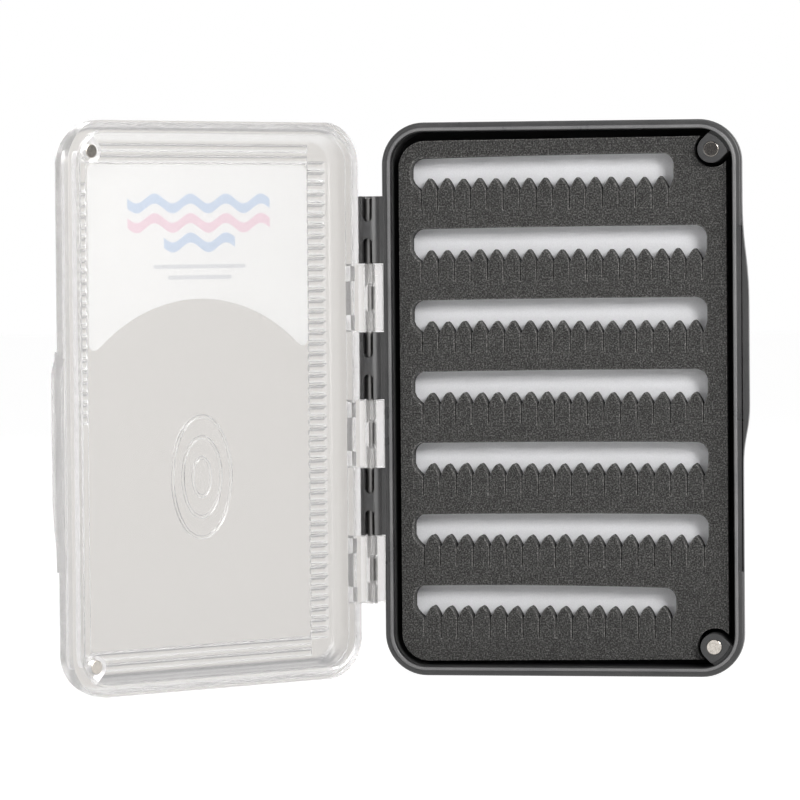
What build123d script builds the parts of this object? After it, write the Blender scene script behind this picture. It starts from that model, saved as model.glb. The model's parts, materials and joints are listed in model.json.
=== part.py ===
"""Pocket fly box: a dark tray with slit foam and a clear lid on a pinned side hinge.

Millimetres, +Z up. The tray stands on its bottom end: X runs across its width, its open
mouth faces -Y and its back faces +Y. The origin is on the floor, at the middle of the flat
edge that the tray's flange stands on. The lid is built shut and then turned open about the
hinge pin.
"""
import os
from math import atan2, cos, radians, tan

from build123d import *

# Box
box_width = 81.4
box_length = 125.0
corner_radius = 9.5
open_angle = 130.0
cut_overrun = 1.0

# Tray
base_depth = 12.0
base_flange_depth = 3.5
base_flange_step = 1.0
base_floor = 1.6
base_back_radius = 2.6
rim_chamfer_width = 0.5
rim_chamfer_depth = 0.35
rim_band_width = 1.15
rim_step = 0.4
rim_lip_round = 0.3
base_wall = 2.05
tongue_channel_width = 0.7
tongue_channel_depth = 1.5
relief_half_length = 38.7
relief_depth = 0.8

# Lid
lid_depth = 7.0
lid_flange_depth = 3.0
lid_flange_step = 0.45
lid_wall = 2.7
lid_panel = 1.6
tongue_height = 1.0
tongue_clearance = 0.1
lid_edge_radius = 2.5
lid_inner_radius = 2.2
rim_gap = 0.1

# Lid face
field_depth = 0.3
field_end_margin = 9.1
rib_length = 3.6
rib_width = 2.1
rib_height = 0.6
rib_pitch = 2.4
rib_edge_margin = 5.9
hinge_rib_count = 45
free_rib_count = 22
free_ribs_skipped = 2
ridge_width = 1.8
ridge_height = 0.5
ridge_margins = (5.8, 8.3)
ring_width = 0.7
ring_height = 0.2
ring_spacing = 4.6
ring_count = 3
ring_ratio = 0.62
ring_below_centre = 16.0

# Thumb tabs
base_tab_low = -11.6
base_tab_high = 38.7
base_tab_low_taper = 7.0
base_tab_high_taper = 12.0
base_tab_reach = 1.4
base_tab_thickness = 2.3
lid_tab_low = -31.0
lid_tab_high = 11.0
lid_tab_low_taper = 8.5
lid_tab_high_taper = 3.0
lid_tab_reach = 1.0
lid_tab_thickness = 3.6
lid_tab_setback = 2.0
tab_bend_ratio = 0.45

# Hinge
hinge_offset = 2.95
knuckle_count = 6
knuckle_length = 15.35
knuckle_gap = 0.15
base_knuckle_radius = 2.55
lid_knuckle_radius = 3.15
knuckle_relief_clearance = 0.15
pin_radius = 0.9
pin_end_setback = 0.4
pin_end_chamfer = 0.22
pin_hold_clearance = 0.02
pin_turn_clearance = 0.06
knuckle_slot_width = 2.2
knuckle_slot_length = 5.7
knuckle_slot_depth_past_pin = 0.6
clip_slit_width = 0.25
clip_slit_angle = 59.0
clip_window_length = 4.3
clip_window_width = 1.7
clip_funnel_length = 7.6
notch_width = 1.45
notch_length = 3.4
notch_depth = 1.5
notch_inset = 0.4

# Magnets
magnet_inset = 6.75
base_magnet_radius = 1.7
lid_magnet_radius = 1.5
magnet_thickness = 2.0
magnet_clearance = 0.05
magnet_edge = 0.15
base_boss_radius = 3.05
lid_boss_radius = 2.5
boss_setback = 0.4
magnet_setback = 0.1

# Foam, backing and adhesive
foam_side_gap = 1.35
foam_drop = 0.3
foam_recess = 3.2
backing_margin = 0.4
backing_thickness = 2.0
adhesive_thickness = 0.2
boss_cutout_clearance = 0.95
row_count = 7
row_pitch = 16.15
first_row_margin = 3.8
slot_left_margin = 2.75
slot_right_margin = 4.7
short_row_extra = 7.4
slot_clear_height = 5.15
tooth_height = 2.8
tooth_pitch = 3.75
first_slit_offset = 2.4
long_row_teeth = 17
short_row_teeth = 15
slit_length = 4.2
slit_width = 0.16
slot_corner_radius = 2.6
slot_end_bulge = 0.3
tooth_tip_flat = 0.5
tooth_tip_rise = 0.06
tooth_shoulder_reach = 0.69
tooth_shoulder_height = 0.52

# Label
label_thickness = 0.25
label_seat_gap = 0.03
label_side_clearance = 0.4
label_corner_radius = 1.5
label_arch_foot = 12.5
label_arch_rise = 10.9
label_foot_width = 2.2

# Places that follow from the sizes above
rim_y = -(rim_step + rim_chamfer_depth + base_flange_depth) / 2
back_y = rim_y + base_depth
floor_y = back_y - base_floor
middle_z = box_length / 2
hinge_x = -box_width / 2 - hinge_offset
lid_rim_y = rim_y - rim_gap
lid_face_y = lid_rim_y - lid_depth
lid_floor_y = lid_face_y + lid_panel
magnet_x = box_width / 2 - magnet_inset
magnet_zs = {"upper": box_length - magnet_inset, "lower": magnet_inset}
foam_inset = base_wall + foam_side_gap
foam_width = box_width - 2 * foam_inset
foam_length = box_length - 2 * foam_inset
tongue_start = base_wall + tongue_clearance
foam_front_y = rim_y + foam_recess
adhesive_front_y = floor_y - adhesive_thickness
backing_front_y = adhesive_front_y - backing_thickness
knuckle_start_z = middle_z - knuckle_count * knuckle_length / 2
rib_inner_margin = rib_edge_margin + rib_length
field_width = box_width - 2 * rib_inner_margin
field_length = box_length - 2 * field_end_margin
label_width = field_width - 2 * label_side_clearance
hinge_axis = Axis((hinge_x, rim_y, 0), (0, 0, 1))


def facing_plane(y):
    """A plane across the box at depth y, seen from the mouth, centred on its length."""
    return Plane(origin=(0, y, middle_z), x_dir=(1, 0, 0), z_dir=(0, -1, 0))


def rounded_slab(width, length, radius, y_back, y_front):
    """A rounded plate from y_back forward to y_front, centred on the box."""
    outline = facing_plane(y_back) * RectangleRounded(width, length, radius)
    return extrude(outline, y_back - y_front)


def inset_slab(inset, y_back, y_front):
    """A plate with the box's own outline drawn in by an inset."""
    return rounded_slab(
        box_width - 2 * inset, box_length - 2 * inset, corner_radius - inset, y_back, y_front
    )


def inset_ring(outer_inset, inner_inset, y_back, y_front):
    """A closed band that follows the box's outline between two insets."""
    return inset_slab(outer_inset, y_back, y_front) - inset_slab(inner_inset, y_back, y_front)


def span_box(x_low, x_high, y_low, y_high, z_low, z_high):
    """A plain block between two corners."""
    size = Box(x_high - x_low, y_high - y_low, z_high - z_low)
    return Pos((x_low + x_high) / 2, (y_low + y_high) / 2, (z_low + z_high) / 2) * size


def rod(radius, x, y, z_low, z_high):
    """A round bar along Z."""
    return Pos(x, y, (z_low + z_high) / 2) * Cylinder(radius, z_high - z_low)


def facing_rod(radius, x, z, y_back, y_front):
    """A round bar along Y, from y_back forward to y_front."""
    disc = facing_plane(y_back) * Pos(x, z - middle_z) * Circle(radius)
    return extrude(disc, y_back - y_front)


def corner_boss(radius, z, y_back, y_front):
    """A boss round a magnet, run out along the diagonal into its corner of the box."""
    reach = corner_radius
    lean = 45 if z > middle_z else -45
    outline = Circle(radius) + Pos(reach / 2, 0) * Rectangle(reach, 2 * radius)
    outline = facing_plane(y_back) * Pos(magnet_x, z - middle_z) * Rot(0, 0, lean) * outline
    return extrude(outline, y_back - y_front)


def tab_swell(taper, reach):
    """The bend radius that leaves a short straight between the two bends of a tapered end."""
    return taper * tab_bend_ratio / tan(atan2(reach, taper) / 2)


def thumb_tab(low, high, low_taper, high_taper, reach, y_back, y_front):
    """A long finger tab on the free side that swells from the wall and back at both ends."""
    edge = box_width / 2
    root = edge - base_wall / 2
    start = low - low_taper / 2
    end = high + high_taper / 2
    bends = [
        (edge, low),
        (edge + reach, low + low_taper),
        (edge + reach, high - high_taper),
        (edge, high),
    ]
    radii = [tab_swell(low_taper, reach)] * 2 + [tab_swell(high_taper, reach)] * 2
    side = FilletPolyline((edge, start), *bends, (edge, end), radius=radii)
    back = Polyline((edge, end), (root, end), (root, start), (edge, start))
    outline = facing_plane(y_back) * make_face(side.edges() + back.edges())
    return extrude(outline, y_back - y_front)


def knuckle_span(index):
    """The lowest and highest Z of one hinge knuckle, counted from the bottom."""
    low = knuckle_start_z + index * knuckle_length
    return low + knuckle_gap / 2, low + knuckle_length - knuckle_gap / 2


def lid_knuckle_indexes():
    return range(0, knuckle_count, 2)


def base_knuckle_indexes():
    return range(1, knuckle_count, 2)


def base_knuckle(index):
    """One dark knuckle: a barrel and its arm, slotted from both ends down past the pin."""
    z_low, z_high = knuckle_span(index)
    wall_x = -box_width / 2 + base_flange_step / 2
    barrel = rod(base_knuckle_radius, hinge_x, rim_y, z_low, z_high)
    arm = span_box(hinge_x, wall_x, rim_y, rim_y + base_knuckle_radius, z_low, z_high)
    knuckle = barrel + arm
    front = rim_y - base_knuckle_radius - cut_overrun
    back = rim_y + knuckle_slot_depth_past_pin
    half = knuckle_slot_width / 2
    for end, inward in ((z_low, 1), (z_high, -1)):
        stop = end + inward * (knuckle_slot_length - half)
        outer = end - inward * cut_overrun
        low, high = min(outer, stop), max(outer, stop)
        knuckle -= span_box(hinge_x - half, hinge_x + half, front, back, low, high)
        knuckle -= facing_rod(half, hinge_x, stop, back, front)
    return knuckle


def base_tray():
    """The dark tray with its rim, back, magnet bosses, thumb tab and three knuckles."""
    flange_back = rim_y + base_flange_depth
    band_y = rim_y + rim_step
    flange = inset_slab(0, flange_back, band_y)
    front_face = flange.faces().sort_by(Axis.Y)[0]
    flange = chamfer(front_face.edges(), rim_chamfer_depth, rim_chamfer_width, reference=front_face)
    body = inset_slab(base_flange_step, back_y, flange_back)
    body = fillet(body.faces().sort_by(Axis.Y)[-1].edges(), base_back_radius)
    shell = flange + body
    edge = box_width / 2
    shell += thumb_tab(
        base_tab_low, base_tab_high, base_tab_low_taper, base_tab_high_taper, base_tab_reach,
        flange_back, flange_back - base_tab_thickness,
    )
    shell -= span_box(
        edge - rim_band_width, edge + base_tab_reach + cut_overrun,
        rim_y - cut_overrun, rim_y + relief_depth,
        middle_z - relief_half_length, middle_z + relief_half_length,
    )
    lip = inset_ring(rim_band_width, base_wall, band_y, rim_y)
    shell += fillet(lip.faces().sort_by(Axis.Y)[0].edges(), rim_lip_round)
    tray = shell - inset_slab(base_wall, floor_y, rim_y - cut_overrun)
    for z in magnet_zs.values():
        boss = corner_boss(base_boss_radius, z, floor_y + base_floor / 2, rim_y + boss_setback)
        tray += boss & inset_slab(base_wall / 2, back_y, rim_y)
    channel_end = base_wall + tongue_channel_width
    channel_floor = rim_y + tongue_channel_depth
    tray -= inset_ring(base_wall, channel_end, channel_floor, rim_y - cut_overrun)
    for z in magnet_zs.values():
        seat = base_magnet_radius + magnet_clearance
        bottom = rim_y + boss_setback + magnet_setback + magnet_thickness
        tray -= facing_rod(seat, magnet_x, z, bottom, rim_y - cut_overrun)
    for index in lid_knuckle_indexes():
        z_low, z_high = knuckle_span(index)
        sweep = lid_knuckle_radius + knuckle_relief_clearance
        tray -= rod(sweep, hinge_x, rim_y, z_low - knuckle_gap, z_high + knuckle_gap)
    for index in base_knuckle_indexes():
        tray += base_knuckle(index)
    bore = rod(pin_radius + pin_hold_clearance, hinge_x, rim_y, 0, box_length)
    return tray - bore


def hinge_pin():
    """The steel pin through all the knuckles, with broken ends."""
    low = knuckle_start_z + pin_end_setback
    high = knuckle_start_z + knuckle_count * knuckle_length - pin_end_setback
    pin = rod(pin_radius, hinge_x, rim_y, low, high)
    return chamfer(pin.edges(), pin_end_chamfer)


def magnet(radius, z, y_back, y_front):
    """A disc magnet lying in its boss, with rounded edges."""
    disc = facing_rod(radius, magnet_x, z, y_back, y_front)
    return fillet(disc.edges().filter_by(GeomType.CIRCLE), magnet_edge)


def base_magnet(z):
    front = rim_y + boss_setback + magnet_setback
    return magnet(base_magnet_radius, z, front + magnet_thickness, front)


def foam_sheet(margin, y_back, y_front):
    """The outline of foam, backing and adhesive, drawn in by a margin, cut away round the bosses."""
    sheet = Pos(0, 0, -foam_drop) * inset_slab(foam_inset + margin, y_back, y_front)
    for z in magnet_zs.values():
        radius = base_boss_radius + boss_cutout_clearance + margin
        sheet -= corner_boss(radius, z, y_back, y_front)
    return sheet


def tooth_edges(left, valley, tip):
    """One pointed tooth from the slit on its left to the slit on its right."""
    low_x = left + slit_width / 2
    high_x = left + tooth_pitch - slit_width / 2
    centre = left + tooth_pitch / 2
    half_flat = tooth_tip_flat / 2
    shoulder_y = valley + tooth_height * tooth_shoulder_height
    shoulder = (high_x - low_x) / 2 * tooth_shoulder_reach
    rise = ThreePointArc((low_x, valley), (centre - shoulder, shoulder_y), (centre - half_flat, tip))
    crown = ThreePointArc(
        (centre - half_flat, tip), (centre, tip + tooth_tip_rise), (centre + half_flat, tip)
    )
    fall = ThreePointArc((centre + half_flat, tip), (centre + shoulder, shoulder_y), (high_x, valley))
    return [rise, crown, fall]


def slot_outline(left, right, top, teeth):
    """One slot: a round-cornered opening whose lower edge is a comb of teeth and slits."""
    tip = top - slot_clear_height
    valley = tip - tooth_height
    foot = valley - slit_length
    half = slit_width / 2
    first = left + first_slit_offset
    last = first + teeth * tooth_pitch
    radius = slot_corner_radius
    diagonal = radius * (1 - cos(radians(45)))
    edges = [
        Line((left + radius, top), (right - radius, top)),
        ThreePointArc((right - radius, top), (right - diagonal, top - diagonal), (right, top - radius)),
        Line((right, top - radius), (right, tip)),
        ThreePointArc(
            (right, tip),
            (right - (right - last - half) * slot_end_bulge, (tip + valley) / 2),
            (last + half, valley),
        ),
    ]
    for count in range(teeth, -1, -1):
        x = first + count * tooth_pitch
        edges.append(Line((x + half, valley), (x + half, foot)))
        edges.append(Line((x + half, foot), (x - half, foot)))
        edges.append(Line((x - half, foot), (x - half, valley)))
        if count:
            edges.extend(tooth_edges(x - tooth_pitch, valley, tip))
    edges.append(
        ThreePointArc(
            (first - half, valley),
            (left + (first - half - left) * slot_end_bulge, (tip + valley) / 2),
            (left, tip),
        )
    )
    edges.append(Line((left, tip), (left, top - radius)))
    edges.append(
        ThreePointArc((left, top - radius), (left + diagonal, top - diagonal), (left + radius, top))
    )
    return make_face(edges)


def slit_foam():
    """The grey foam: seven slots, each with a comb of teeth split by fly slits."""
    foam = foam_sheet(0, backing_front_y, foam_front_y)
    left = -foam_width / 2 + slot_left_margin
    for row in range(row_count):
        short = row in (0, row_count - 1)
        right = foam_width / 2 - slot_right_margin - (short_row_extra if short else 0)
        top = foam_length / 2 - foam_drop - first_row_margin - row * row_pitch
        teeth = short_row_teeth if short else long_row_teeth
        slot = facing_plane(backing_front_y) * slot_outline(left, right, top, teeth)
        foam -= extrude(slot, backing_front_y - foam_front_y)
    return foam


def lid_knuckle(index):
    """One clear knuckle: a barrel and the arm that joins it to the lid's wall."""
    z_low, z_high = knuckle_span(index)
    wall_x = -box_width / 2 + lid_wall / 2
    barrel = rod(lid_knuckle_radius, hinge_x, rim_y, z_low, z_high)
    arm = span_box(hinge_x, wall_x, rim_y - lid_knuckle_radius, lid_rim_y, z_low, z_high)
    return barrel + arm


def rim_notches(index):
    """Two notches in the inner edge of the lid's rim, beside the ends of one clear knuckle."""
    z_low, z_high = knuckle_span(index)
    inner_x = -box_width / 2 + lid_wall
    notches = []
    for low in (z_low + notch_inset, z_high - notch_inset - notch_length):
        notches.append(
            span_box(
                inner_x - notch_width, inner_x + tongue_clearance, lid_rim_y - notch_depth,
                lid_rim_y + tongue_height + cut_overrun, low, low + notch_length,
            )
        )
    return notches


def clip_cuts(index):
    """The slit and the funnel-shaped window that open one clear knuckle along its length."""
    z_low, z_high = knuckle_span(index)
    centre_z = (z_low + z_high) / 2
    reach = lid_knuckle_radius + cut_overrun
    turn = Pos(hinge_x, rim_y, centre_z) * Rot(0, 0, clip_slit_angle)
    slit = turn * Pos(reach / 2, 0, 0) * Box(reach, clip_slit_width, knuckle_length)
    inner = Plane(origin=(0, 0, 0), x_dir=(0, 0, 1), z_dir=(1, 0, 0))
    outer = Plane(origin=(reach, 0, 0), x_dir=(0, 0, 1), z_dir=(1, 0, 0))
    mouth = Rectangle(clip_window_length, clip_window_width)
    funnel_mouth = Rectangle(clip_funnel_length, clip_window_width)
    window = turn * loft([inner * mouth, outer * funnel_mouth])
    return slit + window


def face_bead(width, height, x_low, x_high, z):
    """A low rounded bead across the lid's outer face, cut from a bar sunk behind the face."""
    radius = (width**2 / 4 + height**2) / (2 * height)
    sunk_y = lid_face_y + radius - height
    bar = Pos((x_low + x_high) / 2, sunk_y, z) * Rot(0, 90, 0) * Cylinder(radius, x_high - x_low)
    inside = lid_face_y + field_depth
    front = lid_face_y - height - cut_overrun
    return bar & span_box(x_low, x_high, front, inside, z - width, z + width)


def grip_ribs():
    """The ladders of short grip ribs beside both long edges of the lid face."""
    ribs = []
    hinge_side = -box_width / 2 + rib_edge_margin
    free_side = box_width / 2 - rib_inner_margin
    top = middle_z + (hinge_rib_count - 1) * rib_pitch / 2
    columns = (
        (hinge_side, top, hinge_rib_count),
        (free_side, top - free_ribs_skipped * rib_pitch, free_rib_count),
    )
    for left, first_z, count in columns:
        for step in range(count):
            z = first_z - step * rib_pitch
            ribs.append(face_bead(rib_width, rib_height, left, left + rib_length, z))
    return ribs


def end_ridges():
    """Two low ridges across each end of the lid face."""
    half = box_width / 2 - corner_radius
    ridges = []
    for margin in ridge_margins:
        for z in (margin, box_length - margin):
            ridges.append(face_bead(ridge_width, ridge_height, -half, half, z))
    return ridges


def ripple_rings(face_y):
    """Nested oval beads on the lower part of the lid face."""
    rings = []
    for number in range(1, ring_count + 1):
        tall = number * ring_spacing
        plane = facing_plane(face_y + ring_height) * Pos(0, -ring_below_centre)
        outer = Ellipse(tall * ring_ratio, tall)
        inner = Ellipse(tall * ring_ratio - ring_width, tall - ring_width)
        rings.append(extrude(plane * (outer - inner), 2 * ring_height))
    return rings


def open_lid(shape):
    """Turn a lid piece from shut to the open rest position."""
    return shape.rotate(hinge_axis, -open_angle)


def lid_shell():
    """The clear lid, built shut."""
    flange_face = lid_rim_y - lid_flange_depth
    flange = inset_slab(0, lid_rim_y, flange_face)
    body = inset_slab(lid_flange_step, flange_face, lid_face_y)
    body = fillet(body.faces().sort_by(Axis.Y)[0].edges(), lid_edge_radius)
    shell = flange + body + inset_slab(tongue_start, lid_rim_y + tongue_height, lid_rim_y)
    shell += thumb_tab(
        lid_tab_low, lid_tab_high, lid_tab_low_taper, lid_tab_high_taper, lid_tab_reach,
        lid_rim_y - lid_tab_setback, lid_rim_y - lid_tab_setback - lid_tab_thickness,
    )
    cavity = inset_slab(lid_wall, lid_rim_y + tongue_height + cut_overrun, lid_floor_y)
    cavity = fillet(cavity.faces().sort_by(Axis.Y)[0].edges(), lid_inner_radius)
    shell -= cavity
    for z in magnet_zs.values():
        boss = corner_boss(lid_boss_radius, z, lid_rim_y - boss_setback, lid_floor_y - lid_panel / 2)
        shell += boss & inset_slab(lid_wall / 2, lid_rim_y, lid_face_y)
    for z in magnet_zs.values():
        seat = lid_magnet_radius + magnet_clearance
        bottom = lid_rim_y - boss_setback - magnet_setback - magnet_thickness
        shell -= facing_rod(seat, magnet_x, z, lid_rim_y + cut_overrun, bottom)
    field = rounded_slab(
        field_width, field_length, label_corner_radius,
        lid_face_y + field_depth, lid_face_y - cut_overrun,
    )
    shell -= field
    for bead in grip_ribs() + end_ridges() + ripple_rings(lid_face_y + field_depth):
        shell += bead
    for index in lid_knuckle_indexes():
        shell += lid_knuckle(index)
    for index in lid_knuckle_indexes():
        shell -= clip_cuts(index)
        for notch in rim_notches(index):
            shell -= notch
    for index in base_knuckle_indexes():
        z_low, z_high = knuckle_span(index)
        sweep = base_knuckle_radius + knuckle_relief_clearance
        shell -= rod(sweep, hinge_x, rim_y, z_low - knuckle_gap, z_high + knuckle_gap)
    shell -= rod(pin_radius + pin_turn_clearance, hinge_x, rim_y, 0, box_length)
    return open_lid(shell)


def lid_magnet(z):
    front = lid_rim_y - boss_setback - magnet_setback
    return open_lid(magnet(lid_magnet_radius, z, front, front - magnet_thickness))


def lid_label():
    """The printed label on the lid face: a sheet with an arch cut from its lower edge."""
    half = label_width / 2
    top = field_length / 2 - label_side_clearance
    foot = label_arch_foot
    arch_half = half - label_foot_width
    outline = make_face(
        [
            Line((-half, top), (half, top)),
            Line((half, top), (half, foot)),
            Line((half, foot), (arch_half, foot)),
            ThreePointArc((arch_half, foot), (0, foot + label_arch_rise), (-arch_half, foot)),
            Line((-arch_half, foot), (-half, foot)),
            Line((-half, foot), (-half, top)),
        ]
    )
    corners = outline.vertices().group_by(Axis.Y)
    outline = fillet(corners[0] + corners[-1], label_corner_radius)
    back_y_of_label = lid_face_y + field_depth - label_seat_gap
    sheet = extrude(facing_plane(back_y_of_label) * outline, label_thickness)
    return open_lid(sheet)


def write_parts():
    os.makedirs("parts", exist_ok=True)
    pieces = {
        "base_tray": base_tray(),
        "hinge_pin": hinge_pin(),
        "slit_foam": slit_foam(),
        "foam_backing": foam_sheet(backing_margin, adhesive_front_y, backing_front_y),
        "backing_adhesive": foam_sheet(backing_margin, floor_y, adhesive_front_y),
        "lid_shell": lid_shell(),
        "lid_label": lid_label(),
    }
    for place, z in magnet_zs.items():
        pieces["base_magnet_" + place] = base_magnet(z)
        pieces["lid_magnet_" + place] = lid_magnet(z)
    for name, shape in pieces.items():
        export_step(shape, "parts/" + name + ".step")


write_parts()
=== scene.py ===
import json
import math
import random

import bpy
from mathutils import Matrix, Vector


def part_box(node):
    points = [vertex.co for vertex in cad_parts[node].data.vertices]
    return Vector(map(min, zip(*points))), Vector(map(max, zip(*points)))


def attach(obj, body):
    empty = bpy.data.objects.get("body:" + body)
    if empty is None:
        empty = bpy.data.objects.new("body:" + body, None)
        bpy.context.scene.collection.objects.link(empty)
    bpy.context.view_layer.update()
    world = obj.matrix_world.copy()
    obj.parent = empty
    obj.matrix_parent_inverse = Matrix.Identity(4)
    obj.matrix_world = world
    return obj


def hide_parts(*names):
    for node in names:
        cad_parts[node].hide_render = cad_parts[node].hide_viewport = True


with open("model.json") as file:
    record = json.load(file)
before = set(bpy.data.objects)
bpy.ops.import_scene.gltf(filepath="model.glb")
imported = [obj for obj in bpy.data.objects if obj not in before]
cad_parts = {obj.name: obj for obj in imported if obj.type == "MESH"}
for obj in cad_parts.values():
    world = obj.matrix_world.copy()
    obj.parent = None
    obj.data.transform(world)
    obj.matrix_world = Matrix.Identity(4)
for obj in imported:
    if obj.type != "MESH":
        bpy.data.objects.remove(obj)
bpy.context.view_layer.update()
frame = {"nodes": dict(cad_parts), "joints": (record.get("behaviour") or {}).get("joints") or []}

mm = 0.001
hinge = Vector(frame["joints"][0]["pos_m"])

# sizes that several pieces share, and the lid's turn from shut to open in degrees
box = {
    "width": 81.4 * mm,
    "length": 125.0 * mm,
    "openAngle": 130,
}
boxMiddle = box["length"] / 2

# how the copies of the CAD's pieces are finished, angles in degrees
shell = {
    "mergeDistance": 0.002 * mm,
    "flatAngle": 0.6,
    "bevelAngle": 30,
    "smoothAngle": 32,
}


def deselectAll():
    for thing in bpy.context.selected_objects:
        thing.select_set(False)


def pick(piece):
    # make one object the only selected and active one
    if bpy.context.object and bpy.context.object.mode != "OBJECT":
        bpy.ops.object.mode_set(mode="OBJECT")
    deselectAll()
    piece.select_set(True)
    bpy.context.view_layer.objects.active = piece


def applyModifiers(piece):
    pick(piece)
    for modifier in list(piece.modifiers):
        bpy.ops.object.modifier_apply(modifier=modifier.name)


def roundEdges(piece, width):
    pick(piece)
    bpy.ops.object.modifier_add(type="BEVEL")
    bevel = piece.modifiers[-1]
    bevel.width = width
    bevel.segments = 2
    bevel.limit_method = "ANGLE"
    bevel.angle_limit = math.radians(shell["bevelAngle"])
    bevel.use_clamp_overlap = False
    applyModifiers(piece)


def smoothByAngle(piece, angle):
    # large flat faces keep their own normal, so they don't pick up shading from the rounded edges
    pick(piece)
    bpy.ops.object.shade_smooth_by_angle(angle=math.radians(angle))
    bpy.ops.object.modifier_add(type="WEIGHTED_NORMAL")
    piece.modifiers[-1].keep_sharp = True
    applyModifiers(piece)


def cadCopy(node, name):
    # a merged copy of a CAD node, so it can take smooth shading and rounded edges
    source = frame["nodes"][node]
    piece = source.copy()
    piece.data = source.data.copy()
    piece.name = name
    piece.data.name = name
    for key in list(piece.keys()):
        if key.startswith("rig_"):
            del piece[key]
    bpy.context.scene.collection.objects.link(piece)
    piece.parent = None
    piece.matrix_world = Matrix.Identity(4)
    piece.data.materials.clear()
    pick(piece)
    bpy.ops.object.mode_set(mode="EDIT")
    bpy.ops.mesh.select_all(action="SELECT")
    bpy.ops.mesh.customdata_custom_splitnormals_clear()
    bpy.ops.mesh.remove_doubles(threshold=shell["mergeDistance"])
    bpy.ops.mesh.dissolve_limited(angle_limit=math.radians(shell["flatAngle"]))
    bpy.ops.object.mode_set(mode="OBJECT")
    return piece


def place(piece, body, slotName, *nodes):
    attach(piece, body)
    if nodes:
        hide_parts(*nodes)


# building blocks for the materials
def newMaterial(name, **values):
    material = bpy.data.materials.new(name)
    material.use_nodes = True
    shader = material.node_tree.nodes["Principled BSDF"]
    for socket, value in values.items():
        shader.inputs[socket].default_value = value
    return material, shader


def addNode(material, kind, **settings):
    node = material.node_tree.nodes.new(kind)
    for key, value in settings.items():
        setattr(node, key, value)
    return node


def join(material, start, end):
    material.node_tree.links.new(start, end)


def objectPoint(material, stretch=(1, 1, 1)):
    # object coordinates, stretched so a grain can run along one axis
    coordinates = addNode(material, "ShaderNodeTexCoord")
    mapping = addNode(material, "ShaderNodeMapping")
    mapping.inputs["Scale"].default_value = stretch
    join(material, coordinates.outputs["Object"], mapping.inputs["Vector"])
    return mapping.outputs["Vector"]


def noiseOf(material, point, grain, detail=3, rough=0.6):
    # grain is the size of one speck in metres
    noise = addNode(material, "ShaderNodeTexNoise")
    noise.inputs["Scale"].default_value = 1 / grain
    noise.inputs["Detail"].default_value = detail
    noise.inputs["Roughness"].default_value = rough
    join(material, point, noise.inputs["Vector"])
    return noise.outputs["Fac"]


def rampOf(material, fac, stops):
    ramp = addNode(material, "ShaderNodeValToRGB")
    elements = ramp.color_ramp.elements
    while len(elements) < len(stops):
        elements.new(0.5)
    for element, (position, colour) in zip(elements, stops):
        element.position = position
        if not hasattr(colour, "__len__"):
            colour = (colour, colour, colour)
        element.color = (*colour, 1)
    join(material, fac, ramp.inputs["Fac"])
    return ramp.outputs["Color"]


def attributeOf(material, name):
    attribute = addNode(material, "ShaderNodeAttribute")
    attribute.attribute_name = name
    return attribute.outputs["Fac"]


def mixOf(material, fac, first, second, blend="MIX"):
    # inputs 0, 6 and 7 are the share and the two colours, and output 2 is the colour
    mix = addNode(material, "ShaderNodeMix", data_type="RGBA", blend_type=blend)
    for socket, value in ((mix.inputs[0], fac), (mix.inputs[6], first), (mix.inputs[7], second)):
        if isinstance(value, bpy.types.NodeSocket):
            join(material, value, socket)
        elif hasattr(value, "__len__"):
            socket.default_value = (*value, 1)
        else:
            socket.default_value = value
    return mix.outputs[2]


def mixShaders(material, share, first, second):
    mix = addNode(material, "ShaderNodeMixShader")
    if isinstance(share, bpy.types.NodeSocket):
        join(material, share, mix.inputs[0])
    else:
        mix.inputs[0].default_value = share
    join(material, first.outputs[0], mix.inputs[1])
    join(material, second.outputs[0], mix.inputs[2])
    return mix


def rayShare(material, *kinds):
    # 1 for the named kinds of ray, 0 for the others
    path = addNode(material, "ShaderNodeLightPath")
    share = path.outputs[kinds[0]]
    for kind in kinds[1:]:
        both = addNode(material, "ShaderNodeMath", operation="MAXIMUM")
        join(material, share, both.inputs[0])
        join(material, path.outputs[kind], both.inputs[1])
        share = both.outputs[0]
    return share


def bumpOf(material, shader, heights):
    # heights is a list of (height, depth in metres, strength), laid one over the other
    normal = None
    for height, depth, strength in heights:
        bump = addNode(material, "ShaderNodeBump")
        bump.inputs["Distance"].default_value = depth
        bump.inputs["Strength"].default_value = strength
        join(material, height, bump.inputs["Height"])
        if normal is not None:
            join(material, normal, bump.inputs["Normal"])
        normal = bump.outputs["Normal"]
    join(material, normal, shader.inputs["Normal"])


tray = {
    "edgeRound": 0.12 * mm,
    "dark": (0.044, 0.044, 0.045),
    "light": (0.060, 0.059, 0.059),
    "roughness": 0.3,
    "dullRoughness": 0.95,
    "clouds": 9 * mm,
    "cloudDepth": 0.05 * mm,
    "grain": 0.18 * mm,
    "grainDepth": 0.006 * mm,
    "corner": 9.5 * mm,
    "rimY": hinge.y,
    "depth": 10.4 * mm,
    "lipOuter": 1.2 * mm,
    "lipInner": 1.85 * mm,
    "lipDepth": 0.3 * mm,
    # how much lighter the painted highlight makes the rim's lip
    "lipHighlightGain": 3.6,
}


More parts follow.
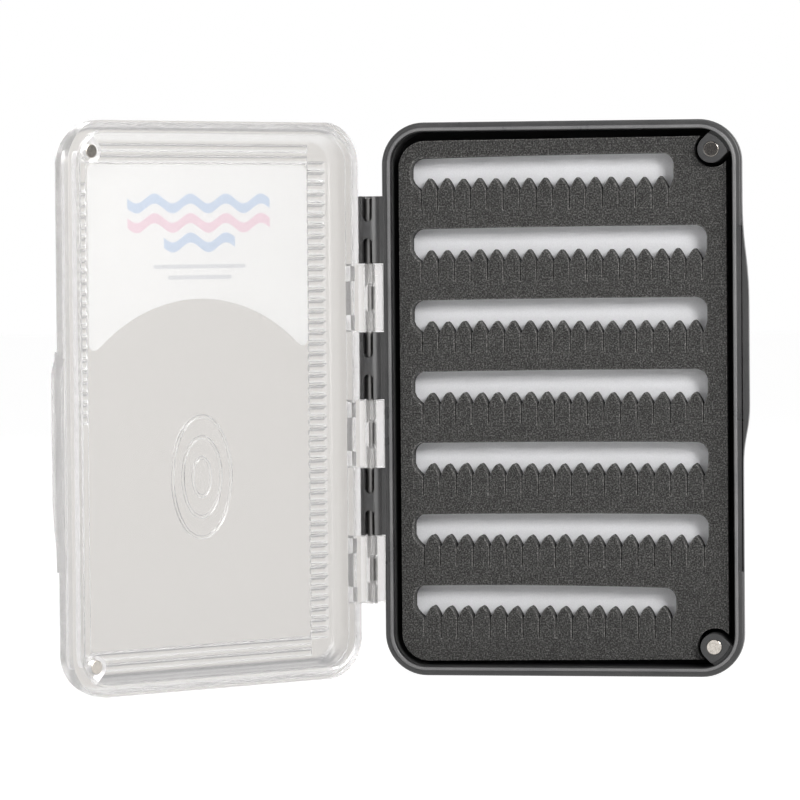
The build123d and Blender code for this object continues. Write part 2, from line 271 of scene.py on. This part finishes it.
def darkPlastic():
    material, shader = newMaterial("darkPlastic", Roughness=tray["roughness"], IOR=1.49)
    point = objectPoint(material)
    clouds = noiseOf(material, point, tray["clouds"], 4)
    grain = noiseOf(material, point, tray["grain"], 2, 0.5)
    tone = rampOf(material, clouds, [(0.3, tray["dark"]), (0.7, tray["light"])])
    flecks = rampOf(material, grain, [(0.35, 0.86), (0.65, 1.12)])
    tone = mixOf(material, 1.0, tone, flecks, "MULTIPLY")
    # the rim's lip gets a painted highlight, and painted shade darkens the walls down in the tray, which
    # also grow duller
    paintedHighlight = rampOf(material, attributeOf(material, "lip"), [(0, 1.0), (1, tray["lipHighlightGain"])])
    tone = mixOf(material, 1.0, tone, paintedHighlight, "MULTIPLY")
    # painted shade: the base colour falls to near black down the walls inside the tray
    depth = attributeOf(material, "depth")
    shade = rampOf(material, depth, [(0.0, 1.0), (0.2, 0.7), (0.36, 0.04)])
    join(material, mixOf(material, 1.0, tone, shade, "MULTIPLY"), shader.inputs["Base Color"])
    sheen = rampOf(material, clouds, [(0.25, tray["roughness"] - 0.05), (0.75, tray["roughness"] + 0.07)])
    dull = rampOf(material, depth, [(0.15, 0.0), (0.35, 1.0)])
    rough = mixOf(material, dull, sheen, (tray["dullRoughness"],) * 3)
    join(material, rough, shader.inputs["Roughness"])
    bumpOf(material, shader, [(grain, tray["grainDepth"], 0.5), (clouds, tray["cloudDepth"], 0.2)])
    return material


def edgeInset(point):
    # how far a point lies inside the box's rounded outline
    corner = tray["corner"]
    across = box["width"] / 2 - abs(point.x)
    along = box["length"] / 2 - abs(point.z - boxMiddle)
    if across < corner and along < corner:
        return corner - math.hypot(corner - across, corner - along)
    return min(across, along)


def markTray(piece):
    # two vertex attributes for the plastic: the rim's lip, which takes a painted highlight, and the depth
    # inside the hollow, which takes painted shade
    lip = piece.data.attributes.new("lip", "FLOAT", "POINT")
    depth = piece.data.attributes.new("depth", "FLOAT", "POINT")
    for vertex in piece.data.vertices:
        inset = edgeInset(vertex.co)
        below = vertex.co.y - tray["rimY"]
        onLip = tray["lipOuter"] < inset < tray["lipInner"] and below < tray["lipDepth"]
        lip.data[vertex.index].value = 1 if onLip else 0
        hollow = inset > tray["lipInner"] and below < tray["depth"] + tray["lipDepth"]
        depth.data[vertex.index].value = max(0, below / tray["depth"]) if hollow else 0


def makeTray():
    piece = cadCopy("base_tray", "trayShell")
    roundEdges(piece, tray["edgeRound"])
    markTray(piece)
    smoothByAngle(piece, shell["smoothAngle"])
    piece.data.materials.append(darkPlastic())
    place(piece, "base", "dark_plastic", "base_tray")


lid = {
    "edgeRound": 0.13 * mm,
    "tint": (0.985, 0.98, 0.972),
    "roughness": 0.2,
    "bend": 1.38,
    "milk": (0.93, 0.925, 0.915),
    "milkShare": 0.16,
    "shade": (0.985, 0.983, 0.98),
    "flow": 14 * mm,
    "flowDepth": 0.2 * mm,
    "haze": 1.1 * mm,
    "hazeDepth": 0.006 * mm,
    "faceY": hinge.y - 7.1 * mm,
    "ringTop": -0.1 * mm,
    "ringRound": 0.16 * mm,
    "ribEnd": 34.8 * mm,
    "ribHeight": 0.6 * mm,
    "ribFootRun": 1.6 * mm,
    "ribTopRun": 0.8 * mm,
    "sameLevel": 0.004 * mm,
    "samePlace": 0.03 * mm,
}


def clearPlastic():
    # clear plastic with a little milk in it, which lets most light through to what lies behind
    material, shader = newMaterial("clearPlastic", IOR=lid["bend"], Roughness=lid["roughness"])
    shader.inputs["Transmission Weight"].default_value = 1
    shader.inputs["Base Color"].default_value = (*lid["tint"], 1)
    point = objectPoint(material)
    flow = noiseOf(material, point, lid["flow"], 2)
    haze = noiseOf(material, point, lid["haze"], 3)
    rough = rampOf(material, haze, [(0.3, lid["roughness"] * 0.8), (0.75, lid["roughness"] * 1.3)])
    join(material, rough, shader.inputs["Roughness"])
    bumpOf(material, shader, [(flow, lid["flowDepth"], 0.2), (haze, lid["hazeDepth"], 0.2)])
    front = addNode(material, "ShaderNodeBsdfDiffuse")
    back = addNode(material, "ShaderNodeBsdfTranslucent")
    for milk in (front, back):
        milk.inputs["Color"].default_value = (*lid["milk"], 1)
    milky = mixShaders(material, 0.5, front, back)
    solid = mixShaders(material, lid["milkShare"], shader, milky)
    light = addNode(material, "ShaderNodeBsdfTransparent")
    light.inputs["Color"].default_value = (*lid["shade"], 1)
    finished = mixShaders(material, rayShare(material, "Is Shadow Ray", "Is Diffuse Ray"), solid, light)
    outlet = material.node_tree.nodes["Material Output"]
    join(material, finished.outputs[0], outlet.inputs["Surface"])
    return material


def openTurn():
    # the lid's turn about the hinge pin from shut to open
    turn = Matrix.Rotation(math.radians(-box["openAngle"]), 4, "Z")
    return Matrix.Translation(hinge) @ turn @ Matrix.Translation(-hinge)


def roundBeads(piece, height, radius):
    # rounds the raised beads whose flat tops lie at one height over the lid's outer face
    shut = openTurn().inverted()
    level = lid["faceY"] - height
    pick(piece)
    bpy.ops.object.mode_set(mode="EDIT")
    bpy.ops.mesh.select_mode(type="EDGE")
    bpy.ops.mesh.select_all(action="DESELECT")
    bpy.ops.object.mode_set(mode="OBJECT")
    mesh = piece.data
    for edge in mesh.edges:
        ends = [(shut @ mesh.vertices[index].co).y for index in edge.vertices]
        edge.select = all(abs(end - level) < lid["sameLevel"] for end in ends)
    bpy.ops.object.mode_set(mode="EDIT")
    bpy.ops.mesh.bevel(offset=radius, segments=3, affect="EDGES")
    bpy.ops.object.mode_set(mode="OBJECT")


def slopeRibs(piece):
    # the hinge-side ribs run out towards the hinge in a slope
    opened = openTurn()
    shut = opened.inverted()
    near = lid["samePlace"]
    for vertex in piece.data.vertices:
        point = shut @ vertex.co
        height = lid["faceY"] - point.y
        onFace = -near < height < lid["ribHeight"] + near
        if onFace and abs(point.x + lid["ribEnd"]) < near:
            rise = max(0, height) / lid["ribHeight"]
            point.x -= lid["ribFootRun"] + (lid["ribTopRun"] - lid["ribFootRun"]) * rise
            vertex.co = opened @ point


def makeLid():
    piece = cadCopy("lid_shell", "lidShell")
    slopeRibs(piece)
    roundBeads(piece, lid["ringTop"], lid["ringRound"])
    roundEdges(piece, lid["edgeRound"])
    smoothByAngle(piece, shell["smoothAngle"])
    piece.data.materials.append(clearPlastic())
    place(piece, "lid", "clear_plastic", "lid_shell")


foam = {
    "thickness": 5.0 * mm,
    "edgeRound": 0.3 * mm,
    "smoothAngle": 40,
    "cornerRadius": 6.1 * mm,
    "notchRadius": 4.0 * mm,
    "magnetInset": 6.75 * mm,
    "rows": 7,
    "rowPitch": 16.15 * mm,
    "firstRow": 3.8 * mm,
    "leftMargin": 2.75 * mm,
    "rightMargin": 4.7 * mm,
    "shortRowExtra": 7.4 * mm,
    "clearHeight": 5.15 * mm,
    "slotRadius": 2.6 * mm,
    "toothHeight": 2.8 * mm,
    "toothPitch": 3.75 * mm,
    "firstSlit": 2.4 * mm,
    "slitLength": 4.2 * mm,
    "slitWidth": 0.16 * mm,
    "longTeeth": 17,
    "shortTeeth": 15,
    "toothLevels": (0.03, 0.12, 0.25, 0.42, 0.62, 0.82),
    "endCurve": 1.6,
    "pointedRow": 0.74,
    "roundRow": 0.6,
    "unevenness": 0.1 * mm,
    "seed": 11,
    "slotSag": ((0.6, -0.05), (0.4, 0), (0.4, 0), (0.4, 0), (0.35, 0.25), (0.4, 0.35), (0.4, 0.75)),
    "topLeftDrop": 0.4 * mm,
    "speckle": 0.36 * mm,
    "cell": 0.5 * mm,
    "pitDepth": 0.12 * mm,
    # how much lighter the painted highlight makes the cut edges
    "edgeHighlightGain": 2.2,
}


def arcPoints(centre, radius, start, end, count):
    # points along an arc, angles in degrees
    points = []
    for step in range(count + 1):
        angle = math.radians(start + (end - start) * step / count)
        points.append((centre[0] + radius * math.cos(angle), centre[1] + radius * math.sin(angle)))
    return points


def sheetOutline(low, high, margin=0):
    # the sheet's rim: round corners on the hinge side, round notches by the magnets on the other
    corner = foam["cornerRadius"] - margin
    notch = foam["notchRadius"] + margin
    magnetX = box["width"] / 2 - foam["magnetInset"]
    upperZ = box["length"] - foam["magnetInset"]
    lowerZ = foam["magnetInset"]
    reach = math.degrees(math.acos((high[1] - upperZ) / notch))
    points = arcPoints((low[0] + corner, high[1] - corner - foam["topLeftDrop"]), corner, 180, 90, 10)
    points += arcPoints((magnetX, upperZ), notch, 90 + reach, 360 - reach, 18)
    points += arcPoints((magnetX, lowerZ), notch, reach, 270 - reach, 18)
    points += arcPoints((low[0] + corner, low[1] + corner), corner, 270, 180, 10)
    return points


def slotOutline(left, right, top, teeth, pointedness, sag, dice):
    # one slot from its top left corner round to the comb of teeth along its lower edge;
    # sag is how far the left and right ends of its top edge hang below the middle
    corner = foam["slotRadius"]
    tip = top - foam["clearHeight"]
    valley = tip - foam["toothHeight"]
    foot = valley - foam["slitLength"]
    half = foam["slitWidth"] / 2
    first = left + foam["firstSlit"]
    last = first + teeth * foam["toothPitch"]
    points = arcPoints((left + corner, top - sag[0] - corner), corner, 180, 90, 8)
    for share in (0.2, 0.4, 0.6, 0.8):
        drop = sag[0] * (1 - share) ** 2 + sag[1] * share ** 2
        points.append((left + corner + (right - left - 2 * corner) * share, top - drop))
    points += arcPoints((right - corner, top - sag[1] - corner), corner, 90, 0, 8)
    endRun = right - last - half
    for share in (0.0, 0.35, 0.7):
        points.append((right - endRun * share ** foam["endCurve"], tip - (tip - valley) * share))
    for count in range(teeth, -1, -1):
        x = first + count * foam["toothPitch"]
        lean = dice.uniform(-1, 1) * foam["unevenness"]
        cut = foot + dice.uniform(-1, 1) * foam["unevenness"] * 2
        points += [(x + half, valley), (x + half, cut), (x - half, cut), (x - half, valley)]
        if count:
            peak = (x - foam["toothPitch"] / 2 + lean, tip + dice.uniform(-1, 1) * foam["unevenness"])
            power = pointedness + dice.uniform(-0.04, 0.04)
            points += toothPoints(peak, x - half, x - foam["toothPitch"] + half, valley, power)
    startRun = first - half - left
    for share in (0.7, 0.35, 0.0):
        points.append((left + startRun * share ** foam["endCurve"], tip - (tip - valley) * share))
    return points


def toothPoints(peak, rightFoot, leftFoot, valley, power):
    # a bullet-shaped tooth, walked from its right foot over its peak to its left foot
    centre, tip = peak
    right = []
    left = []
    for level in foam["toothLevels"]:
        reach = level ** power
        height = tip - (tip - valley) * level
        right.append((centre + (rightFoot - centre) * reach, height))
        left.append((centre + (leftFoot - centre) * reach, height))
    return right[::-1] + [(centre, tip)] + left


def flatSheet(name, outlines, thickness, edgeRound, middle):
    # a flat curve with holes, thickened, made a mesh and stood up to face -Y
    curve = bpy.data.curves.new(name, "CURVE")
    curve.dimensions = "2D"
    curve.fill_mode = "BOTH"
    curve.extrude = thickness / 2 - edgeRound
    curve.bevel_depth = edgeRound
    curve.bevel_resolution = 2
    curve.offset = -edgeRound
    for outline in outlines:
        spline = curve.splines.new("POLY")
        spline.points.add(len(outline) - 1)
        for point, (x, z) in zip(spline.points, outline):
            point.co = (x, z, 0, 1)
        spline.use_cyclic_u = True
    piece = bpy.data.objects.new(name, curve)
    bpy.context.scene.collection.objects.link(piece)
    pick(piece)
    bpy.ops.object.convert(target="MESH")
    piece = bpy.context.object
    piece.rotation_euler = (math.pi / 2, 0, 0)
    piece.location = (0, middle, 0)
    bpy.ops.object.transform_apply(location=True, rotation=True, scale=True)
    bpy.ops.object.mode_set(mode="EDIT")
    bpy.ops.mesh.select_all(action="SELECT")
    bpy.ops.mesh.remove_doubles(threshold=0.001 * mm)
    bpy.ops.mesh.normals_make_consistent(inside=False)
    bpy.ops.object.mode_set(mode="OBJECT")
    return piece


def greyFoam():
    material, shader = newMaterial("greyFoam", Roughness=0.95, IOR=1.35)
    point = objectPoint(material)
    fine = noiseOf(material, point, foam["speckle"], 2, 0.7)
    coarse = noiseOf(material, point, 4 * foam["speckle"], 3, 0.6)
    cells = addNode(material, "ShaderNodeTexVoronoi", feature="F1")
    cells.inputs["Scale"].default_value = 1 / foam["cell"]
    join(material, point, cells.inputs["Vector"])
    tone = rampOf(material, fine, [(0.32, 0.017), (0.5, 0.045), (0.66, 0.13)])
    cloud = rampOf(material, coarse, [(0.35, (0.85, 0.835, 0.805)), (0.65, (1.19, 1.17, 1.13))])
    tone = mixOf(material, 1.0, tone, cloud, "MULTIPLY")
    # the rounded cut edges get a painted highlight, lighter than the skin
    pale = rampOf(material, attributeOf(material, "cutEdge"), [(0.2, 1.0), (1, foam["edgeHighlightGain"])])
    join(material, mixOf(material, 1.0, tone, pale, "MULTIPLY"), shader.inputs["Base Color"])
    pits = foam["pitDepth"]
    bumpOf(material, shader, [(fine, pits, 0.7), (cells.outputs["Distance"], pits, 0.4)])
    return material


def makeFoam():
    low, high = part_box("slit_foam")
    dice = random.Random(foam["seed"])
    outlines = [sheetOutline((low.x, low.z), (high.x, high.z))]
    left = low.x + foam["leftMargin"]
    for row in range(foam["rows"]):
        short = row in (0, foam["rows"] - 1)
        right = high.x - foam["rightMargin"] - (foam["shortRowExtra"] if short else 0)
        top = high.z - foam["firstRow"] - row * foam["rowPitch"]
        teeth = foam["shortTeeth"] if short else foam["longTeeth"]
        share = row / (foam["rows"] - 1)
        pointedness = foam["pointedRow"] + (foam["roundRow"] - foam["pointedRow"]) * share
        sag = [value * mm for value in foam["slotSag"][row]]
        outlines.append(slotOutline(left, right, top, teeth, pointedness, sag, dice))
    piece = flatSheet("slitFoam", outlines, foam["thickness"], foam["edgeRound"], (low.y + high.y) / 2)
    # marks the rounded cut edges that take the painted highlight
    cutEdge = piece.data.attributes.new("cutEdge", "FLOAT", "POINT")
    for vertex in piece.data.vertices:
        below = vertex.co.y - low.y
        cutEdge.data[vertex.index].value = 1 if 0.01 * mm < below < foam["edgeRound"] * 1.05 else 0
    smoothByAngle(piece, foam["smoothAngle"])
    piece.data.materials.append(greyFoam())
    place(piece, "base", "grey_foam", "slit_foam")


backing = {
    "thickness": 2.0 * mm,
    "edgeRound": 0.25 * mm,
    "filmRound": 0.02 * mm,
    "margin": 0.4 * mm,
    "speckle": 0.25 * mm,
    "speckleDepth": 0.03 * mm,
    "clouds": 12 * mm,
    "cloudDepth": 0.3 * mm,
    "filmFibre": 0.6 * mm,
    "filmDepth": 0.02 * mm,
}


def whiteFoam():
    material, shader = newMaterial("whiteFoam", Roughness=0.75, IOR=1.4)
    point = objectPoint(material)
    fine = noiseOf(material, point, backing["speckle"], 3)
    clouds = noiseOf(material, point, backing["clouds"], 2)
    tone = rampOf(material, clouds, [(0.3, (0.87, 0.87, 0.885)), (0.7, (0.91, 0.91, 0.93))])
    flecks = rampOf(material, fine, [(0.35, 0.96), (0.65, 1.03)])
    join(material, mixOf(material, 1.0, tone, flecks, "MULTIPLY"), shader.inputs["Base Color"])
    bumpOf(material, shader, [(fine, backing["speckleDepth"], 0.5), (clouds, backing["cloudDepth"], 0.2)])
    return material


def makeBacking():
    low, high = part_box("foam_backing")
    outline = sheetOutline((low.x, low.z), (high.x, high.z), backing["margin"])
    middle = (low.y + high.y) / 2
    piece = flatSheet("foamBacking", [outline], backing["thickness"], backing["edgeRound"], middle)
    smoothByAngle(piece, foam["smoothAngle"])
    piece.data.materials.append(whiteFoam())
    place(piece, "base", "white_foam", "foam_backing")


def adhesiveFilm():
    material, shader = newMaterial("adhesiveFilm", Roughness=0.5)
    point = objectPoint(material)
    fibre = noiseOf(material, point, backing["filmFibre"], 3)
    tone = rampOf(material, fibre, [(0.3, (0.7, 0.68, 0.6)), (0.7, (0.8, 0.78, 0.7))])
    join(material, tone, shader.inputs["Base Color"])
    bumpOf(material, shader, [(fibre, backing["filmDepth"], 0.4)])
    return material


def makeAdhesive():
    low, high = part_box("backing_adhesive")
    outline = sheetOutline((low.x, low.z), (high.x, high.z), backing["margin"])
    middle = (low.y + high.y) / 2
    piece = flatSheet("backingAdhesive", [outline], high.y - low.y, backing["filmRound"], middle)
    piece.data.materials.append(adhesiveFilm())
    place(piece, "base", "adhesive", "backing_adhesive")


metal = {
    "pinTone": (0.26, 0.255, 0.25),
    "pinAngle": 30,
    "drawLine": 0.06 * mm,
    "drawStretch": (1, 1, 0.04),
    "drawDepth": 0.006 * mm,
    "magnetTone": (0.61, 0.57, 0.52),
    "magnetAngle": 50,
    "spot": 0.35 * mm,
    "spotDepth": 0.004 * mm,
}


def drawnSteel():
    material, shader = newMaterial("drawnSteel", Metallic=1.0, Roughness=0.38)
    point = objectPoint(material, metal["drawStretch"])
    lines = noiseOf(material, point, metal["drawLine"], 3)
    dark = tuple(0.8 * value for value in metal["pinTone"])
    tone = rampOf(material, lines, [(0.3, dark), (0.7, metal["pinTone"])])
    join(material, tone, shader.inputs["Base Color"])
    bumpOf(material, shader, [(lines, metal["drawDepth"], 0.5)])
    return material


def nickelPlate():
    material, shader = newMaterial("nickelPlate", Metallic=1.0, Roughness=0.2)
    point = objectPoint(material)
    spots = noiseOf(material, point, metal["spot"], 4)
    dark = tuple(0.75 * value for value in metal["magnetTone"])
    tone = rampOf(material, spots, [(0.35, dark), (0.6, metal["magnetTone"])])
    join(material, tone, shader.inputs["Base Color"])
    join(material, rampOf(material, spots, [(0.3, 0.05), (0.75, 0.1)]), shader.inputs["Roughness"])
    bumpOf(material, shader, [(spots, metal["spotDepth"], 0.4)])
    return material


def finishMetal():
    steel = drawnSteel()
    nickel = nickelPlate()
    pin = cadCopy("hinge_pin", "hingePin")
    smoothByAngle(pin, metal["pinAngle"])
    pin.data.materials.append(steel)
    place(pin, "base", "steel", "hinge_pin")
    for body in ("base", "lid"):
        for level in ("upper", "lower"):
            node = body + "_magnet_" + level
            magnet = cadCopy(node, body + "Magnet" + level.capitalize())
            smoothByAngle(magnet, metal["magnetAngle"])
            magnet.data.materials.append(nickel)
            place(magnet, body, "nickel", node)


label = {
    "halfWidth": 30.8 * mm,
    "top": 53.0 * mm,
    "foot": 12.5 * mm,
    "archHalf": 28.6 * mm,
    "archRise": 10.9 * mm,
    "corner": 1.5 * mm,
    "footRadius": 1.5 * mm,
    "thickness": 0.25 * mm,
    "edgeRound": 0.04 * mm,
    "frontFace": lid["faceY"] + 0.02 * mm,
    "inkThickness": 0.012 * mm,
    "waveSwell": 1.1 * mm,
    "waveStroke": 1.1 * mm,
    "barRadius": 0.45 * mm,
    "fibre": 0.5 * mm,
    "fibreDepth": 0.01 * mm,
    "inkDots": 0.25 * mm,
    "paper": (0.93, 0.93, 0.935),
    "strongInks": {"blue": (0.05, 0.12, 0.33), "rose": (0.55, 0.09, 0.2), "grey": (0.2, 0.21, 0.24)},
    "paleInks": {"blue": (0.55, 0.65, 0.82), "rose": (0.85, 0.63, 0.72), "grey": (0.68, 0.69, 0.73)},
}

# the print: waves as (ink, height, length, waves) and bars as (ink, height, length),
# heights over the lid's middle and lengths in mm
printWaves = (("blue", 44.5, 40, 4), ("rose", 40.2, 40, 4), ("blue", 35.9, 20, 2))
printBars = (("grey", 30.6, 26), ("grey", 28.2, 18))


def swingOpen(piece):
    # from the shut lid's place to the open lid's
    pick(piece)
    piece.matrix_world = openTurn()
    bpy.ops.object.transform_apply(location=True, rotation=True, scale=True)


def labelOutline():
    # two round upper corners, and a wide arch between two round feet
    half = label["halfWidth"]
    top = boxMiddle + label["top"]
    foot = boxMiddle + label["foot"]
    corner = label["corner"]
    points = arcPoints((-half + corner, top - corner), corner, 180, 90, 6)
    points += arcPoints((half - corner, top - corner), corner, 90, 0, 6)
    rise = label["archRise"]
    radius = (label["archHalf"] ** 2 + rise ** 2) / (2 * rise)
    sweep = math.degrees(math.asin(label["archHalf"] / radius))
    toe = label["footRadius"]
    points += arcPoints((half - toe, foot + toe), toe, 0, -90 - sweep, 10)
    points += arcPoints((0, foot + rise - radius), radius, 92 - sweep, 88 + sweep, 36)
    points += arcPoints((toe - half, foot + toe), toe, sweep - 90, -180, 10)
    return points


def waveOutline(length, waves, height):
    steps = 12 * waves
    line = []
    for step in range(steps + 1):
        rise = label["waveSwell"] * math.sin(2 * math.pi * waves * step / steps)
        line.append((-length / 2 + length * step / steps, height + rise))
    upper = [(x, z + label["waveStroke"]) for x, z in line]
    lower = [(x, z - label["waveStroke"]) for x, z in reversed(line)]
    return upper + lower


def barOutline(length, height):
    end = label["barRadius"]
    points = arcPoints((length / 2 - end, height), end, -90, 90, 6)
    points += arcPoints((-length / 2 + end, height), end, 90, 270, 6)
    return points


def inkMaterial(name, colour):
    material, shader = newMaterial(name, Roughness=0.45)
    dots = noiseOf(material, objectPoint(material), label["inkDots"], 2)
    lighter = tuple(min(1.0, value * 1.08 + 0.01) for value in colour)
    tone = rampOf(material, dots, [(0.35, colour), (0.7, lighter)])
    join(material, tone, shader.inputs["Base Color"])
    return material


def labelPaper():
    material, shader = newMaterial("labelPaper", Roughness=0.5)
    point = objectPoint(material)
    fibre = noiseOf(material, point, label["fibre"], 4)
    lower = tuple(value * 0.985 for value in label["paper"])
    tone = rampOf(material, fibre, [(0.35, lower), (0.65, label["paper"])])
    join(material, tone, shader.inputs["Base Color"])
    bumpOf(material, shader, [(fibre, label["fibreDepth"], 0.3)])
    return material


def makeLabel():
    thickness = label["thickness"]
    ink = label["inkThickness"]
    front = label["frontFace"]
    centre = front + thickness / 2
    sheet = flatSheet("lidLabel", [labelOutline()], thickness, label["edgeRound"], centre)
    sheet.data.materials.append(labelPaper())
    swingOpen(sheet)
    place(sheet, "lid", "label_print", "lid_label")
    sides = (
        ("Front", front - ink / 2, label["strongInks"]),
        ("Back", front + thickness + ink / 2, label["paleInks"]),
    )
    for side, depth, inks in sides:
        for tone, colour in inks.items():
            outlines = [waveOutline(length * mm, waves, boxMiddle + height * mm)
                        for waveTone, height, length, waves in printWaves if waveTone == tone]
            outlines += [barOutline(length * mm, boxMiddle + height * mm)
                         for barTone, height, length in printBars if barTone == tone]
            name = tone + "Print" + side
            piece = flatSheet(name, outlines, ink, 0, depth)
            piece.data.materials.append(inkMaterial(name, colour))
            swingOpen(piece)
            place(piece, "lid", "label_print")


# the camera's place in mm and its turns in degrees
view = {
    "place": (140.97, -1078.21, 98.37),
    "yaw": 9.382,
    "pitch": -1.8884,
    "roll": -0.4905,
    "lens": 217.3,
}

# world tones, lamps (places and sizes in metres, power in watts) and the floor
studio = {
    "backdrop": (0.685, 0.66, 0.635),
    "dimRoom": (0.1, 0.1, 0.105),
    "sideStrip": (8, 7.95, 7.9),
    "brightSky": (0.88, 0.875, 0.87),
    "dimGround": (0.24, 0.24, 0.25),
    "underSide": (0.95, 0.935, 0.935),
    "brightSide": (1.0, 0.985, 0.985),
    "dimSide": (0.9, 0.885, 0.9),
    "ambient": 0.15,
    "aim": (-20, 0, 62),
    "keyPlace": (0.52, -0.78, 0.44),
    "keySize": 0.3,
    "keyPower": 5.65,
    "sidePlace": (0.8, -0.45, 0.5),
    "sideSize": 0.42,
    "sidePower": 0.6,
    "frontPlace": (-0.15, -0.95, 0.46),
    "frontSize": 0.5,
    "frontPower": 1.3,
    "topPlace": (0.05, -0.12, 0.95),
    "topSize": 0.7,
    "topPower": 2.2,
    "fillPlace": (-0.75, -0.6, 0.3),
    "fillSize": 0.6,
    "fillPower": 0.9,
    "backPlace": (-0.75, 0.85, 0.5),
    "backSize": 0.6,
    "backPower": 4.2,
    "floorSize": 8,
    "floorGap": 0.02 * mm,
    "floorTone": 0.8,
    "floorGlow": 1.25,
    "glowShare": 0.75,
}


def makeCamera():
    data = bpy.data.cameras.new("boxView")
    data.lens = view["lens"]
    data.sensor_width = 36
    data.clip_start = 0.05
    data.clip_end = 20
    camera = bpy.data.objects.new("boxView", data)
    bpy.context.scene.collection.objects.link(camera)
    aim = Matrix.Rotation(math.radians(view["yaw"]), 4, "Z")
    aim @= Matrix.Rotation(math.radians(90 + view["pitch"]), 4, "X")
    aim @= Matrix.Rotation(math.radians(view["roll"]), 4, "Z")
    camera.matrix_world = Matrix.Translation(Vector(view["place"]) * mm) @ aim
    bpy.context.scene.camera = camera


def softLamp(name, spot, size, power):
    target = Vector(studio["aim"]) * mm
    data = bpy.data.lights.new(name, "AREA")
    data.shape = "SQUARE"
    data.size = size
    data.energy = power
    lamp = bpy.data.objects.new(name, data)
    bpy.context.scene.collection.objects.link(lamp)
    lamp.location = spot
    lamp.rotation_euler = (target - Vector(spot)).to_track_quat("-Z", "Y").to_euler()


def sideShare(world, side, low, high):
    # 0 to 1 as a direction's X, Y or Z goes from low to high
    direction = addNode(world, "ShaderNodeTexCoord")
    apart = addNode(world, "ShaderNodeSeparateXYZ")
    join(world, direction.outputs["Generated"], apart.inputs["Vector"])
    share = addNode(world, "ShaderNodeMapRange")
    share.inputs["From Min"].default_value = low
    share.inputs["From Max"].default_value = high
    join(world, apart.outputs[side], share.inputs["Value"])
    return share.outputs["Result"]


def makeWorld():
    # soft even light, a white backdrop behind the box and a dim room in front of it
    world = bpy.data.worlds.new("studioWorld")
    world.use_nodes = True
    bpy.context.scene.world = world
    background = world.node_tree.nodes["Background"]
    white = (1, 1, 1)
    mirrored = mixOf(world, sideShare(world, "Y", 0.15, 0.5), studio["dimRoom"], white)
    # a tall bright strip to the right, seen only in reflections
    strip = addNode(world, "ShaderNodeMath", operation="MULTIPLY")
    join(world, sideShare(world, "X", 0.5, 0.7), strip.inputs[0])
    join(world, sideShare(world, "Y", -0.05, -0.25), strip.inputs[1])
    mirrored = mixOf(world, strip.outputs[0], mirrored, studio["sideStrip"])
    # what bent light finds: grey straight behind, brighter above and to the sides, dark low down
    # and pale again at the very bottom
    bent = mixOf(world, sideShare(world, "X", -0.02, 0.3), studio["backdrop"], studio["brightSide"])
    bent = mixOf(world, sideShare(world, "Z", 0.06, 0.2), bent, studio["brightSky"])
    bent = mixOf(world, sideShare(world, "Z", -0.11, -0.22), bent, studio["dimGround"])
    bent = mixOf(world, sideShare(world, "Z", -0.3, -0.5), bent, studio["underSide"])
    bent = mixOf(world, sideShare(world, "X", -0.28, -0.6), bent, studio["dimSide"])
    bent = mixOf(world, sideShare(world, "Y", 0.3, -0.5), bent, studio["dimSide"])
    ambient = (studio["ambient"],) * 3
    tone = mixOf(world, rayShare(world, "Is Glossy Ray"), ambient, mirrored)
    tone = mixOf(world, rayShare(world, "Is Transmission Ray"), tone, bent)
    tone = mixOf(world, rayShare(world, "Is Camera Ray"), tone, white)
    join(world, tone, background.inputs["Color"])


def makeFloor():
    bpy.ops.mesh.primitive_plane_add(size=studio["floorSize"], location=(0, 0, -studio["floorGap"]))
    floor = bpy.context.object
    floor.name = "studioFloor"
    material, shader = newMaterial("paleFloor", Roughness=0.9)
    shader.inputs["Base Color"].default_value = (*(studio["floorTone"],) * 3, 1)
    glow = addNode(material, "ShaderNodeEmission")
    glow.inputs["Color"].default_value = (*(studio["floorGlow"],) * 3, 1)
    seen = mixShaders(material, studio["glowShare"], shader, glow)
    choose = mixShaders(material, rayShare(material, "Is Camera Ray", "Is Glossy Ray"), shader, seen)
    # light bent by the lid passes the floor by and finds the world's own ground tone
    clear = addNode(material, "ShaderNodeBsdfTransparent")
    choose = mixShaders(material, rayShare(material, "Is Transmission Ray"), choose, clear)
    outlet = material.node_tree.nodes["Material Output"]
    join(material, choose.outputs[0], outlet.inputs["Surface"])
    floor.data.materials.append(material)


def makeStudio():
    makeCamera()
    makeWorld()
    makeFloor()
    for name in ("key", "front", "top", "fill", "side", "back"):
        softLamp(name + "Lamp", studio[name + "Place"], studio[name + "Size"], studio[name + "Power"])
    bpy.context.scene.view_settings.view_transform = "Standard"


deselectAll()
makeStudio()
print("studio ready")
makeTray()
print("tray done")
makeFoam()
makeBacking()
makeAdhesive()
print("foam and backing done")
finishMetal()
print("metal done")
makeLid()
makeLabel()
print("lid done")
